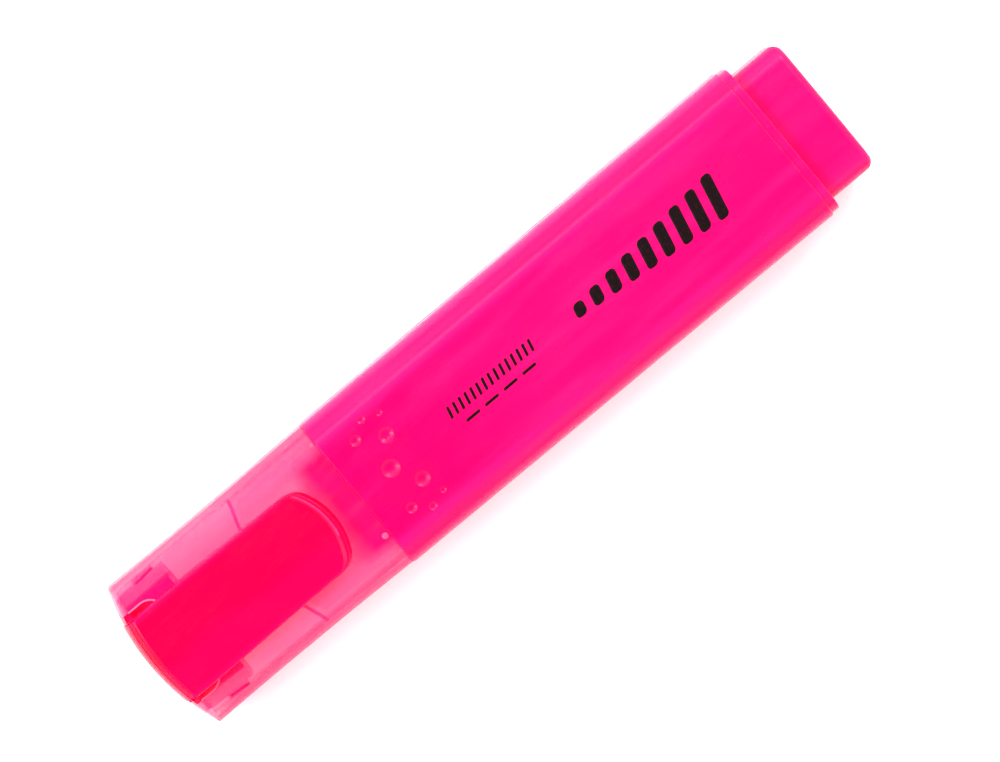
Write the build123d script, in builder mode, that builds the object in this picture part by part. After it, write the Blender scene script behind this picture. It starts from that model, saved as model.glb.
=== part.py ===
from build123d import *
import os
from math import sqrt

# A highlighter pen with a flat body, lying on its back.
# +X runs from the closed end of the cap to the tail, +Y across, +Z up out of the front face.
# The origin is under the middle of the pen, on the plane that its back lies on. Millimetres.

# Lengths along the pen
cap_length = 36.7            # mouth of the cap to the top of its domed end
body_length = 74.5           # barrel, mouth to tail edge
flange_length = 1.25         # rim of the tail plug, behind the barrel
boss_length = 7.55           # post of the tail plug, where the cap is parked

# Barrel
mouth_width = 24.4
mouth_depth = 14.2
tail_width = 25.1
tail_depth = 14.6
body_corner = 4.0
body_wall = 1.3
face_crown = 0.5             # rise of the front face at the middle of its width
edge_round = 0.25            # rounding of the outer end edges
rest_cut = 0.02              # cut off the back, so that it is one true plane
rib_thick = 0.8
rib_pitch = 10.0             # between the two ribs on the front, and the two on the back
rib_clearance = 0.05         # to the wrapped reservoir
rib_end_gap = 1.0            # between the ribs and the tail plug's spigot

# Dimples on the front of the barrel: (distance behind the mouth, off the middle, diameter)
dimples = [(5.9, 0.0, 2.6), (4.6, 6.0, 1.6), (8.3, 3.9, 2.2), (7.0, 7.7, 1.2), (9.5, 6.85, 0.9)]
dimple_depth_ratio = 0.135   # depth over diameter

# Cap shell
cap_step = 0.15              # the cap stands this far inside the barrel's outline
cap_wall = 1.15
cap_waist_from_mouth = 22.7
cap_waist_narrowing = 0.5
cap_end_narrowing = 0.25
cap_bore_taper = 0.5         # narrowing of the bore from mouth to end
dome_plan_radius = 34.0      # curve of the closed end, seen from the front
dome_side_radius = 28.0      # and seen from the side
lip_length = 2.7             # end wall of the shell, over which the bore is smaller
lip_inset = 0.9              # how far the lip stands inside the bore
notch_width = 15.6           # cut in the front wall under the clip
notch_length = 7.0
notch_corner = 2.3

# Front section: neck, domed shoulder and nose in one moulding
neck_clearance = 0.1         # neck to cap, each side
neck_length = 13.7           # mouth of the barrel to the edge of the shoulder
neck_taper = 0.4
neck_wall = 1.1
socket_depth = 8.0           # length of the section inside the barrel
shoulder_radius = 24.4       # curve of the shoulder, seen from the front
shoulder_wall = 0.8
nose_width = 8.8
nose_height = 6.8
nose_corner = 2.6
nose_round = 0.8
nose_length = 4.2
nib_tube_wall = 0.9
nib_tube_length = 9.0        # guide behind the shoulder
bead_height = 0.06           # snap beads that hold the cap
bead_diameter = 1.3
bead_spacing = 13.2
bead_from_mouth = 1.3

# Nib and reservoir
nib_width = 4.8
nib_height = 3.4
nib_corner = 0.8
nib_out = 5.5                # length standing out of the nose
nib_tip_height = 1.7
nib_slant = 2.2              # how far the chisel edge runs back across the nib
nib_clearance = 0.05
nib_in_reservoir = 1.5
reservoir_width = 17.4
reservoir_height = 8.4
reservoir_corner = 3.6
film_thick = 0.15
film_back = 0.5              # the film stops short of each end of the core
reservoir_ahead = 4.7        # front end of the core, ahead of the barrel's mouth
reservoir_gap = 3.2          # rear end of the core to the tail edge

# Tail plug
flange_step = 0.27           # the rim stands this far inside the barrel's outline
boss_plan_corner = 1.6
boss_edge_round = 1.1
spigot_length = 7.0
plug_wall = 1.2
stop_thick = 1.0             # plates inside the plug that the reservoir rests against
fit_gap = 0.03               # between pieces that are pushed together

# Cap insert: end plate, plug and sealing sleeve in one moulding
insert_length = 9.9          # top of the dome to the inner end of the plug
insert_side_gap = 0.75       # plug to the shell's bore, outside its pads
pad_length = 2.5
pad_width = 16.0
side_rib_length = 3.3
side_rib_height = 3.0
side_rib_inset = 1.3         # from the pads' inner end to the side ribs
sleeve_wall = 0.9
seal_clearance = 0.1
sleeve_overlap = 3.0         # how far the sleeve covers the nose
sleeve_depth = 2.5           # room for the nib's tip past the plug's inner end

# Clip
clip_root_width = 13.7
clip_tip_width = 13.2
clip_height = 17.2           # top of the clip at its root, above the plane of the back
clip_fall = 0.6              # fall of the clip's face from root to tip
clip_lip_rise = 0.4          # the tip turns up this much again
clip_thick = 1.8
clip_tip_from_mouth = 3.9
clip_lip_length = 2.4
clip_tip_radius = 10.6
clip_tip_corner = 1.6
clip_leg_thick = 2.4
clip_tip_gap = 0.15          # under the tip, to the cap
clip_gap = 0.05              # between the clip's root and the end plate
hinge_drop = 9.2             # centre of the clip's root, below the top of the clip
clip_inner_round = 1.5

# Stations along the pen
overall_length = cap_length + body_length + flange_length + boss_length
end_x = -overall_length / 2
mouth_x = end_x + cap_length
tail_x = mouth_x + body_length
flange_x = tail_x + flange_length
boss_x = flange_x + boss_length
lip_x = end_x + lip_length
insert_x = end_x + insert_length
waist_x = mouth_x - cap_waist_from_mouth
socket_x = mouth_x + socket_depth
core_front_x = mouth_x - reservoir_ahead
core_back_x = tail_x - reservoir_gap
axis_z = mouth_depth / 2 - rest_cut
tail_axis_z = tail_depth / 2 - rest_cut

# Sections that follow from the fits
cap_width = mouth_width - 2 * cap_step
cap_depth = mouth_depth - 2 * cap_step
cap_corner = body_corner - cap_step
bore_width = cap_width - 2 * cap_wall
bore_depth = cap_depth - 2 * cap_wall
bore_corner = cap_corner - cap_wall
neck_width = bore_width - 2 * neck_clearance
neck_depth = bore_depth - 2 * neck_clearance
neck_corner = bore_corner - neck_clearance
wrapped_width = reservoir_width + 2 * film_thick
wrapped_height = reservoir_height + 2 * film_thick
wrapped_corner = reservoir_corner + film_thick
shoulder_sag = shoulder_radius - sqrt(shoulder_radius**2 - (neck_width / 2) ** 2)
shoulder_x = mouth_x - neck_length - shoulder_sag
nose_x = shoulder_x - nose_length
nib_tip_x = nose_x - nib_out
nib_back_x = core_front_x + nib_in_reservoir
sleeve_x = nose_x + sleeve_overlap
big = 2 * overall_length     # larger than any piece


def across(x):
    """Plane square to the pen at x, with its own x across the pen and its own y up."""
    return Plane(origin=(x, 0, 0), x_dir=(0, 1, 0), z_dir=(1, 0, 0))


def slab(x, width, depth, middle, corner):
    """Section of the body at x: flat back, crowned front and rounded corners."""
    side = width / 2
    back = middle - depth / 2
    front = middle + depth / 2
    edge = front - face_crown
    with BuildSketch(across(x)) as section:
        with BuildLine():
            Polyline((-side, edge), (-side, back), (side, back), (side, edge))
            ThreePointArc((side, edge), (0, front), (-side, edge))
        make_face()
        fillet(section.vertices(), corner)
    return section.sketch


def pill(x, width, height, corner, margin=0.0):
    """Rounded rectangle across the pen at x, centred on the pen's axis and grown by margin."""
    with BuildSketch(across(x)) as section:
        with Locations((0, axis_z)):
            RectangleRounded(width + 2 * margin, height + 2 * margin, corner + margin)
    return section.sketch


def body_section(x, inset):
    """The barrel's outline at x, moved in by inset all round."""
    share = (x - mouth_x) / body_length
    width = mouth_width + (tail_width - mouth_width) * share
    depth = mouth_depth + (tail_depth - mouth_depth) * share
    return slab(x, width - 2 * inset, depth - 2 * inset, depth / 2 - rest_cut, body_corner - inset)


def cap_section(x, narrowing):
    """The cap's outline at x."""
    return slab(x, cap_width - narrowing, cap_depth - narrowing, axis_z, cap_corner)


def bore_section(x, inset):
    """The cap's bore at x, moved in by inset all round."""
    narrowing = cap_bore_taper * (mouth_x - x) / (cap_length - lip_length) + 2 * inset
    return slab(x, bore_width - narrowing, bore_depth - narrowing, axis_z, bore_corner - inset)


def neck_section(x, inset):
    """The neck's outline at x, moved in by inset; it tapers ahead of the barrel's mouth."""
    narrowing = neck_taper * max(0.0, mouth_x - x) / neck_length + 2 * inset
    return slab(x, neck_width - narrowing, neck_depth - narrowing, axis_z, neck_corner - inset)


def crown_drop(width, y):
    """How far the crowned front of a slab of this width has fallen at y."""
    radius = (width**2 / 4 + face_crown**2) / (2 * face_crown)
    return radius - sqrt(radius**2 - y**2)


def front_height(x, y):
    """Height of the barrel's front face at x and y."""
    share = (x - mouth_x) / body_length
    width = mouth_width + (tail_width - mouth_width) * share
    return mouth_depth + (tail_depth - mouth_depth) * share - rest_cut - crown_drop(width, y)


def ball_radius(diameter, height):
    """Radius of the ball whose cap has this diameter and height."""
    return (diameter**2 / 4 + height**2) / (2 * height)


# Drum whose rim is the domed end of the cap: a bulging arc turned about an upright axis
dome_half_height = 0.55 * dome_side_radius
dome_edge = dome_plan_radius - dome_side_radius + sqrt(dome_side_radius**2 - dome_half_height**2)
dome_axis_x = end_x + dome_plan_radius
with BuildPart() as end_dome:
    with BuildSketch(Plane(origin=(dome_axis_x, 0, axis_z), x_dir=(-1, 0, 0), z_dir=(0, 1, 0))):
        with BuildLine():
            Polyline(
                (dome_edge, dome_half_height),
                (0, dome_half_height),
                (0, -dome_half_height),
                (dome_edge, -dome_half_height),
            )
            ThreePointArc(
                (dome_edge, -dome_half_height), (dome_plan_radius, 0), (dome_edge, dome_half_height)
            )
        make_face()
    revolve(axis=Axis((dome_axis_x, 0, 0), (0, 0, 1)))

# Ribs inside the barrel: two upright plates and a level one, open in the middle for the reservoir
rib_length = body_length - socket_depth - spigot_length - rib_end_gap
rib_middle_x = socket_x + rib_length / 2
with BuildPart() as rib_grid:
    with Locations((rib_middle_x, -rib_pitch / 2, axis_z), (rib_middle_x, rib_pitch / 2, axis_z)):
        Box(rib_length, rib_thick, big)
    with Locations((rib_middle_x, 0, axis_z)):
        Box(rib_length, big, rib_thick)
    extrude(
        pill(socket_x, wrapped_width, wrapped_height, wrapped_corner, rib_clearance),
        amount=rib_length,
        mode=Mode.SUBTRACT,
    )

with BuildPart() as body_cavity:
    loft([body_section(mouth_x, body_wall), body_section(tail_x, body_wall)])
    add(rib_grid.part, mode=Mode.SUBTRACT)

# Barrel: tapered tube, open at both ends, with its ribs and the dimples near the mouth
with BuildPart() as barrel:
    loft([body_section(mouth_x, 0), body_section(tail_x, 0)])
    fillet(barrel.faces().sort_by(Axis.X)[0].edges() + barrel.faces().sort_by(Axis.X)[-1].edges(), edge_round)
    add(body_cavity.part, mode=Mode.SUBTRACT)
    extrude(neck_section(mouth_x, -fit_gap), amount=socket_depth, mode=Mode.SUBTRACT)
    split(bisect_by=Plane.XY, keep=Keep.TOP)
    for behind, off_middle, diameter in dimples:
        dimple_x = mouth_x + behind
        sink = dimple_depth_ratio * diameter
        ball = ball_radius(diameter, sink)
        height = front_height(dimple_x, off_middle) + ball - sink
        for side in {-off_middle, off_middle}:
            with Locations((dimple_x, side, height)):
                Sphere(ball, mode=Mode.SUBTRACT)

# Front section: neck with a domed shoulder, the nose that holds the nib, and the nib's guide tube
shoulder_axis_x = shoulder_x + shoulder_radius
with BuildPart() as neck_hollow:
    extrude(neck_section(mouth_x, neck_wall), amount=socket_depth)
    loft([neck_section(mouth_x, neck_wall), neck_section(shoulder_x, neck_wall)])
    with BuildSketch():
        with Locations((shoulder_axis_x, 0)):
            Circle(shoulder_radius - shoulder_wall)
    extrude(amount=big, both=True, mode=Mode.INTERSECT)

with BuildPart() as front_section:
    extrude(neck_section(mouth_x, 0), amount=socket_depth)
    loft([neck_section(mouth_x, 0), neck_section(shoulder_x, 0)])
    with BuildSketch():
        with Locations((shoulder_axis_x, 0)):
            Circle(shoulder_radius)
    extrude(amount=big, both=True, mode=Mode.INTERSECT)
    add(neck_hollow.part, mode=Mode.SUBTRACT)
    extrude(pill(nose_x, nose_width, nose_height, nose_corner), amount=nose_length + shoulder_wall)
    fillet(front_section.faces().sort_by(Axis.X)[0].edges(), nose_round)
    extrude(
        pill(shoulder_x + shoulder_wall / 2, nib_width, nib_height, nib_corner, nib_tube_wall),
        amount=nib_tube_length,
    )
    extrude(
        pill(nose_x, nib_width, nib_height, nib_corner, nib_clearance),
        amount=nose_length + shoulder_wall + nib_tube_length,
        mode=Mode.SUBTRACT,
    )
    bead_ball = ball_radius(bead_diameter, bead_height)
    bead_lift = neck_depth / 2 + bead_height - bead_ball
    bead_x = mouth_x - bead_from_mouth
    bead_front_z = axis_z + bead_lift - crown_drop(neck_width, bead_spacing / 2)
    for bead_y in (-bead_spacing / 2, bead_spacing / 2):
        with Locations((bead_x, bead_y, axis_z - bead_lift), (bead_x, bead_y, bead_front_z)):
            Sphere(bead_ball)
    add(neck_hollow.part, mode=Mode.SUBTRACT)

# Nib: fibre bar with a chisel tip, slanted across the pen and thinned towards its edge
with BuildPart() as nib:
    extrude(pill(nib_tip_x, nib_width, nib_height, nib_corner), amount=nib_back_x - nib_tip_x)
    with BuildSketch():
        with BuildLine():
            Polyline(
                (nib_tip_x, nib_width / 2),
                (nib_tip_x + nib_slant, -nib_width / 2),
                (nib_back_x, -nib_width / 2),
                (nib_back_x, nib_width / 2),
                close=True,
            )
        make_face()
    extrude(amount=big, mode=Mode.INTERSECT)
    with BuildSketch(Plane.XZ):
        with BuildLine():
            Polyline(
                (nib_tip_x, axis_z - nib_tip_height / 2),
                (nib_tip_x + nib_out - 1, axis_z - nib_height / 2),
                (nib_back_x, axis_z - nib_height / 2),
                (nib_back_x, axis_z + nib_height / 2),
                (nib_tip_x + nib_out - 1, axis_z + nib_height / 2),
                (nib_tip_x, axis_z + nib_tip_height / 2),
                close=True,
            )
        make_face()
    extrude(amount=nib_width, both=True, mode=Mode.INTERSECT)

# Reservoir: fibre core, with a pocket for the nib's back end, wrapped in film
core_length = core_back_x - core_front_x
with BuildPart() as reservoir_core:
    extrude(pill(core_front_x, reservoir_width, reservoir_height, reservoir_corner), amount=core_length)
    extrude(
        pill(core_front_x, nib_width, nib_height, nib_corner, nib_clearance),
        amount=nib_in_reservoir,
        mode=Mode.SUBTRACT,
    )

with BuildPart() as reservoir_film:
    extrude(
        pill(core_front_x + film_back, reservoir_width, reservoir_height, reservoir_corner, film_thick),
        amount=core_length - 2 * film_back,
    )
    extrude(
        pill(core_front_x, reservoir_width, reservoir_height, reservoir_corner),
        amount=core_length,
        mode=Mode.SUBTRACT,
    )

# Tail plug: spigot in the barrel, rim behind it, and the hollow post
boss_hollow_width = neck_width - 2 * plug_wall
boss_hollow_depth = neck_depth - 2 * plug_wall
with BuildPart() as boss:
    extrude(slab(flange_x, neck_width, neck_depth, tail_axis_z, neck_corner), amount=boss_length)
    fillet(boss.faces().sort_by(Axis.X)[-1].edges(), boss_edge_round)
    with BuildSketch():
        with Locations((flange_x, 0)):
            RectangleRounded(2 * boss_length, neck_width, boss_plan_corner)
    extrude(amount=big, mode=Mode.INTERSECT)

with BuildPart() as tail_plug:
    loft([body_section(tail_x - spigot_length, body_wall + fit_gap), body_section(tail_x, body_wall + fit_gap)])
    extrude(body_section(tail_x, flange_step), amount=flange_length)
    fillet(tail_plug.faces().sort_by(Axis.X)[-1].edges(), edge_round)
    add(boss.part)
    extrude(
        body_section(tail_x - spigot_length, body_wall + fit_gap + plug_wall),
        amount=spigot_length,
        mode=Mode.SUBTRACT,
    )
    extrude(
        slab(tail_x, boss_hollow_width, boss_hollow_depth, tail_axis_z, neck_corner - plug_wall),
        amount=boss_x - plug_wall - tail_x,
        mode=Mode.SUBTRACT,
    )
    stop_length = boss_x - plug_wall - core_back_x
    with Locations(
        (core_back_x, -rib_pitch / 2, tail_axis_z),
        (core_back_x, rib_pitch / 2, tail_axis_z),
    ):
        Box(stop_length, stop_thick, boss_hollow_depth, align=(Align.MIN, Align.CENTER, Align.CENTER))

# Cap shell: waisted tube with a domed end, a lip that holds the insert, and a notch under the clip
with BuildPart() as cap_shell:
    loft(
        [
            cap_section(mouth_x, 0),
            cap_section(waist_x, cap_waist_narrowing),
            cap_section(end_x, cap_end_narrowing),
        ]
    )
    fillet(cap_shell.faces().sort_by(Axis.X)[-1].edges(), edge_round)
    add(end_dome.part, mode=Mode.INTERSECT)
    loft([bore_section(mouth_x, 0), bore_section(lip_x, 0)], mode=Mode.SUBTRACT)
    extrude(bore_section(end_x, lip_inset), amount=lip_length, mode=Mode.SUBTRACT)
    with BuildSketch(Plane.XY.offset(axis_z)):
        with Locations((end_x, 0)):
            RectangleRounded(2 * notch_length, notch_width, notch_corner)
    extrude(amount=cap_depth, mode=Mode.SUBTRACT)

# Clip: strip over the cap's face, with a leg down the domed end and a rounded root
clip_tip_x = mouth_x - clip_tip_from_mouth
clip_corner_x = clip_tip_x - clip_tip_radius + sqrt(clip_tip_radius**2 - (clip_tip_width / 2) ** 2)
cap_face_z = axis_z + cap_depth / 2
leg_x = end_x + clip_leg_thick
hinge_x = end_x + clip_leg_thick / 2
hinge_z = clip_height - hinge_drop
lip_start_x = clip_tip_x - clip_lip_length
lip_top_x = clip_tip_x - clip_lip_length / 2
tip_z = clip_height - clip_fall
inner_corner = (leg_x, clip_height - clip_thick)
with BuildPart() as clip:
    with BuildSketch(Plane.XZ) as clip_side:
        with BuildLine():
            Polyline(
                (end_x, hinge_z),
                (end_x, clip_height),
                (lip_start_x, tip_z),
                (lip_top_x, tip_z + clip_lip_rise),
                (clip_tip_x, tip_z - clip_thick / 2),
                (lip_top_x, cap_face_z + clip_tip_gap),
                (lip_start_x - clip_lip_length / 2, tip_z - clip_thick),
                inner_corner,
                (leg_x, hinge_z),
                close=True,
            )
        make_face()
        fillet(clip_side.vertices().sort_by_distance((leg_x, 0, inner_corner[1]))[0], clip_inner_round)
        with Locations((hinge_x, hinge_z)):
            Circle(clip_leg_thick / 2)
    extrude(amount=clip_root_width, both=True)
    with BuildSketch() as clip_plan:
        with BuildLine():
            Polyline(
                (clip_corner_x, clip_tip_width / 2),
                (end_x, clip_root_width / 2),
                (end_x, -clip_root_width / 2),
                (clip_corner_x, -clip_tip_width / 2),
            )
            ThreePointArc(
                (clip_corner_x, -clip_tip_width / 2), (clip_tip_x, 0), (clip_corner_x, clip_tip_width / 2)
            )
        make_face()
        fillet(clip_plan.vertices().group_by(Axis.X)[-1], clip_tip_corner)
    extrude(amount=big, mode=Mode.INTERSECT)
    add(end_dome.part, mode=Mode.INTERSECT)

# Cap insert: end plate, plug with its pads and side ribs, and the sleeve that seals the nose
plate_width = notch_width - 2 * fit_gap
with BuildPart() as notch_plate:
    extrude(cap_section(end_x, cap_end_narrowing), amount=lip_length)
    with Locations((end_x, 0, axis_z)):
        Box(
            lip_length,
            plate_width,
            cap_depth,
            align=(Align.MIN, Align.CENTER, Align.MIN),
            mode=Mode.INTERSECT,
        )

with BuildPart() as plug_pads:
    extrude(bore_section(insert_x - pad_length, fit_gap), amount=pad_length)
    with Locations((insert_x, 0, axis_z)):
        Box(2 * pad_length, pad_width, cap_depth, mode=Mode.INTERSECT)

with BuildPart() as side_ribs:
    extrude(bore_section(insert_x - side_rib_inset - side_rib_length, fit_gap), amount=side_rib_length)
    with Locations((insert_x - side_rib_inset, 0, axis_z)):
        Box(2 * side_rib_length, cap_width, side_rib_height, mode=Mode.INTERSECT)

with BuildPart() as cap_insert:
    extrude(bore_section(end_x, lip_inset + fit_gap), amount=lip_length)
    add(notch_plate.part)
    extrude(bore_section(lip_x, insert_side_gap), amount=insert_x - lip_x)
    add(plug_pads.part)
    add(side_ribs.part)
    extrude(
        pill(insert_x, nose_width, nose_height, nose_corner, seal_clearance + sleeve_wall),
        amount=sleeve_x - insert_x,
    )
    extrude(
        pill(insert_x - sleeve_depth, nose_width, nose_height, nose_corner, seal_clearance),
        amount=sleeve_depth + sleeve_x - insert_x,
        mode=Mode.SUBTRACT,
    )
    with Locations((leg_x + clip_gap, 0, hinge_z)):
        Box(
            2 * clip_leg_thick,
            clip_root_width + 2 * clip_gap,
            cap_depth,
            align=(Align.MAX, Align.CENTER, Align.MIN),
            mode=Mode.SUBTRACT,
        )
    with Locations((hinge_x, 0, hinge_z)):
        Cylinder(
            clip_leg_thick / 2 + clip_gap,
            clip_root_width + 2 * clip_gap,
            rotation=(90, 0, 0),
            mode=Mode.SUBTRACT,
        )
    add(end_dome.part, mode=Mode.INTERSECT)

barrel.part.label = "barrel"
front_section.part.label = "front_section"
nib.part.label = "nib"
reservoir_core.part.label = "reservoir_core"
reservoir_film.part.label = "reservoir_film"
tail_plug.part.label = "tail_plug"
cap_shell.part.label = "cap_shell"
cap_insert.part.label = "cap_insert"
clip.part.label = "clip"

os.makedirs("parts", exist_ok=True)
export_step(barrel.part, "parts/barrel.step")
export_step(front_section.part, "parts/front_section.step")
export_step(nib.part, "parts/nib.step")
export_step(reservoir_core.part, "parts/reservoir_core.step")
export_step(reservoir_film.part, "parts/reservoir_film.step")
export_step(tail_plug.part, "parts/tail_plug.step")
export_step(cap_shell.part, "parts/cap_shell.step")
export_step(cap_insert.part, "parts/cap_insert.step")
export_step(clip.part, "parts/clip.step")
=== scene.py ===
import math

import bmesh
import bpy
import numpy as np
from mathutils import Matrix, Vector


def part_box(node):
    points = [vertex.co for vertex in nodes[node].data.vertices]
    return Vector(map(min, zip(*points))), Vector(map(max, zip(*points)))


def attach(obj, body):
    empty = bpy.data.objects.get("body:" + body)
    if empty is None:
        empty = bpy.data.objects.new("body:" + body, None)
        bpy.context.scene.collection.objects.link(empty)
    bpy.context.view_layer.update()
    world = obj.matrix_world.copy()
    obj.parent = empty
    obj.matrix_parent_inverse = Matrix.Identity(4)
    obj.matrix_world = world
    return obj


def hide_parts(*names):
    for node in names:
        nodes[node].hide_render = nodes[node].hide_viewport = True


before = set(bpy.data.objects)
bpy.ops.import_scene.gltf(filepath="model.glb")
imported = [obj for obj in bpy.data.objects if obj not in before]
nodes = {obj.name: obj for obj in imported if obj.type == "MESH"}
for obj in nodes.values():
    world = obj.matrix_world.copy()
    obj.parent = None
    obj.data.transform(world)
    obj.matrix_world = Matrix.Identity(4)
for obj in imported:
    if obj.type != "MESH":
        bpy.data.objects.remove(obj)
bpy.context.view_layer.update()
mm = 0.001


# Sizes that every piece is worked out from, in millimetres.
def span(node):
    low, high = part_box(node)
    return np.array(low) / mm, np.array(high) / mm


barrelLow, barrelHigh = span("barrel")
capLow, capHigh = span("cap_shell")
clipLow, clipHigh = span("clip")
neckLow, neckHigh = span("front_section")
mouthX = barrelLow[0]
print("frame loaded with", len(nodes), "nodes")

# The camera looks down on the pen, leans a little to +Y and is turned so that the pen lies at a slant.
cameraLook = {
    "lens": 200.0,
    "near": 0.01,
    "widthSeen": 137.14,       # millimetres across the view
    "lean": 3.8,
    "turn": 39.93,
    "right": 1.783,            # how far the aim is moved from the pen's middle
    "up": 0.33,
}


def makeCamera(look):
    camera = bpy.data.objects.new("camera", bpy.data.cameras.new("camera"))
    bpy.context.scene.collection.objects.link(camera)
    camera.data.lens = look["lens"]
    camera.data.clip_start = look["near"]
    distance = look["lens"] / camera.data.sensor_width * look["widthSeen"] * mm
    lean = math.radians(look["lean"])
    middle = Vector((0, 0, (barrelLow[2] + barrelHigh[2]) / 2)) * mm
    back = Vector((0, math.sin(lean), math.cos(lean)))
    across = Vector((1, 0, 0))
    away = back.cross(across)
    turn = math.radians(look["turn"])
    right = across * math.cos(turn) - away * math.sin(turn)
    up = across * math.sin(turn) + away * math.cos(turn)
    target = middle + right * look["right"] * mm + up * look["up"] * mm
    turned = Matrix((right, up, back)).transposed().to_4x4()
    camera.matrix_world = Matrix.Translation(target + back * distance) @ turned
    bpy.context.scene.camera = camera


# A bright low sky that is dark overhead, a wide panel over the +Y side, and a small window at each end.
studio = {
    "overhead": 0.07,
    "sky": 1.55,
    "horizon": 0.55,
    "horizonTop": 0.42,        # heights on the sky's unit dome
    "darkFrom": 0.60,
    "darkTo": 0.86,
    "nearSide": 1.12,
    "farSide": 0.80,
    "panel": {"place": (0.0, 0.32, 0.62), "size": (0.9, 0.16), "power": 1.9},
    "windowTail": {"place": (0.40, 0.20, 0.50), "size": (0.2, 0.2), "power": 1.9},
    "windowCap": {"place": (-0.42, 0.14, 0.50), "size": (0.2, 0.2), "power": 1.9},
}


def makeStudio(look):
    scene = bpy.context.scene
    scene.view_settings.view_transform = "Standard"
    world = bpy.data.worlds.new("studio")
    scene.world = world
    world.use_nodes = True
    tree = world.node_tree
    place = put(tree, "ShaderNodeTexCoord")
    parts = put(tree, "ShaderNodeSeparateXYZ", {0: place.outputs["Generated"]})
    height = parts.outputs["Z"]
    low = ramp(tree, height, 0.0, look["horizonTop"], look["horizon"] / look["sky"], 1.0)
    high = ramp(tree, height, look["darkFrom"], look["darkTo"], look["sky"], look["overhead"])
    sides = ramp(tree, parts.outputs["Y"], -1, 1, look["farSide"], look["nearSide"])
    strength = reckon(tree, "MULTIPLY", reckon(tree, "MULTIPLY", low, high), sides)
    background = tree.nodes["Background"]
    tree.links.new(strength, background.inputs["Strength"])
    background.inputs["Color"].default_value = (1, 1, 1, 1)
    for name in ("panel", "windowTail", "windowCap"):
        light = bpy.data.lights.new(name, "AREA")
        light.shape = "RECTANGLE"
        light.size, light.size_y = look[name]["size"]
        light.energy = look[name]["power"]
        lamp = bpy.data.objects.new(name, light)
        scene.collection.objects.link(lamp)
        lamp.location = look[name]["place"]
        lamp.rotation_euler = (-lamp.location).to_track_quat("-Z", "Y").to_euler()


floorLook = {
    "half": 9.0,
    "colour": (0.80, 0.80, 0.80, 1),
    "roughness": 0.9,
    "shine": 0.1,
    "glow": (1, 1, 1, 1),      # keeps it pale in the shade
    "glowPower": 0.46,
}


def makeFloor(look):
    half = look["half"]
    mesh = bpy.data.meshes.new("floor")
    corners = [(-half, -half, 0), (half, -half, 0), (half, half, 0), (-half, half, 0)]
    mesh.from_pydata(corners, [], [(0, 1, 2, 3)])
    floor = bpy.data.objects.new("floor", mesh)
    bpy.context.scene.collection.objects.link(floor)
    paper, _, shader = newMaterial("paleFloor")
    shader.inputs["Base Color"].default_value = look["colour"]
    shader.inputs["Roughness"].default_value = look["roughness"]
    shader.inputs["Specular IOR Level"].default_value = look["shine"]
    setGlow(shader, look)
    mesh.materials.append(paper)


# Small tools for node trees. A value or another node's socket may go into any input.
def put(tree, kind, inputs=None, **settings):
    made = tree.nodes.new(kind)
    for name, value in settings.items():
        setattr(made, name, value)
    for name, value in (inputs or {}).items():
        if isinstance(value, bpy.types.NodeSocket):
            tree.links.new(value, made.inputs[name])
        else:
            made.inputs[name].default_value = value
    return made


def newMaterial(name):
    material = bpy.data.materials.new(name)
    material.use_nodes = True
    tree = material.node_tree
    return material, tree, tree.nodes["Principled BSDF"]


def reckon(tree, operation, a, b=0.0):
    return put(tree, "ShaderNodeMath", {0: a, 1: b}, operation=operation).outputs[0]


def ramp(tree, value, start, end, low=0.0, high=1.0):
    # a smooth climb from low at start to high at end
    if start > end:
        start, end, low, high = end, start, high, low
    inputs = {"Value": value, "From Min": start, "From Max": end, "To Min": low, "To Max": high}
    made = put(tree, "ShaderNodeMapRange", inputs, interpolation_type="SMOOTHSTEP")
    return made.outputs["Result"]


def blendColour(tree, share, first, second, kind="MIX"):
    # the Mix node takes its share at 0 and its two colours at 6 and 7
    first = first if isinstance(first, bpy.types.NodeSocket) else (*first, 1)
    second = second if isinstance(second, bpy.types.NodeSocket) else (*second, 1)
    inputs = {0: share, 6: first, 7: second}
    return put(tree, "ShaderNodeMix", inputs, data_type="RGBA", blend_type=kind).outputs[2]


def blendValue(tree, share, first, second):
    # the same node takes two numbers at 2 and 3
    return put(tree, "ShaderNodeMix", {0: share, 2: first, 3: second}, data_type="FLOAT").outputs[0]


# emission: an even fill for the floor, and painted glow on the pen's parts
def setGlow(shader, look):
    shader.inputs["Emission Color"].default_value = look["glow"]
    shader.inputs["Emission Strength"].default_value = look["glowPower"]


def setHeight(tree, shader, height):
    # a bump whose height is in millimetres
    bump = put(tree, "ShaderNodeBump", {"Height": height, "Distance": mm})
    tree.links.new(bump.outputs[0], shader.inputs["Normal"])


def axes(tree):
    # the surface's own place in millimetres: along, across, up
    place = put(tree, "ShaderNodeTexCoord").outputs["Object"]
    scaled = put(tree, "ShaderNodeVectorMath", {0: place, 3: 1 / mm}, operation="SCALE").outputs[0]
    parts = put(tree, "ShaderNodeSeparateXYZ", {0: scaled})
    return parts.outputs[0], parts.outputs[1], parts.outputs[2]


def cloud(tree, size, detail=3.0, turn=0.0):
    # noise whose patches are size millimetres long on each axis
    place = put(tree, "ShaderNodeTexCoord").outputs["Object"]
    inputs = {"Vector": place, "Scale": tuple(mm * s for s in size), "Rotation": (0, 0, turn)}
    moved = put(tree, "ShaderNodeMapping", inputs, vector_type="TEXTURE").outputs[0]
    return put(tree, "ShaderNodeTexNoise", {"Vector": moved, "Scale": 1.0, "Detail": detail}).outputs["Fac"]


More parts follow.
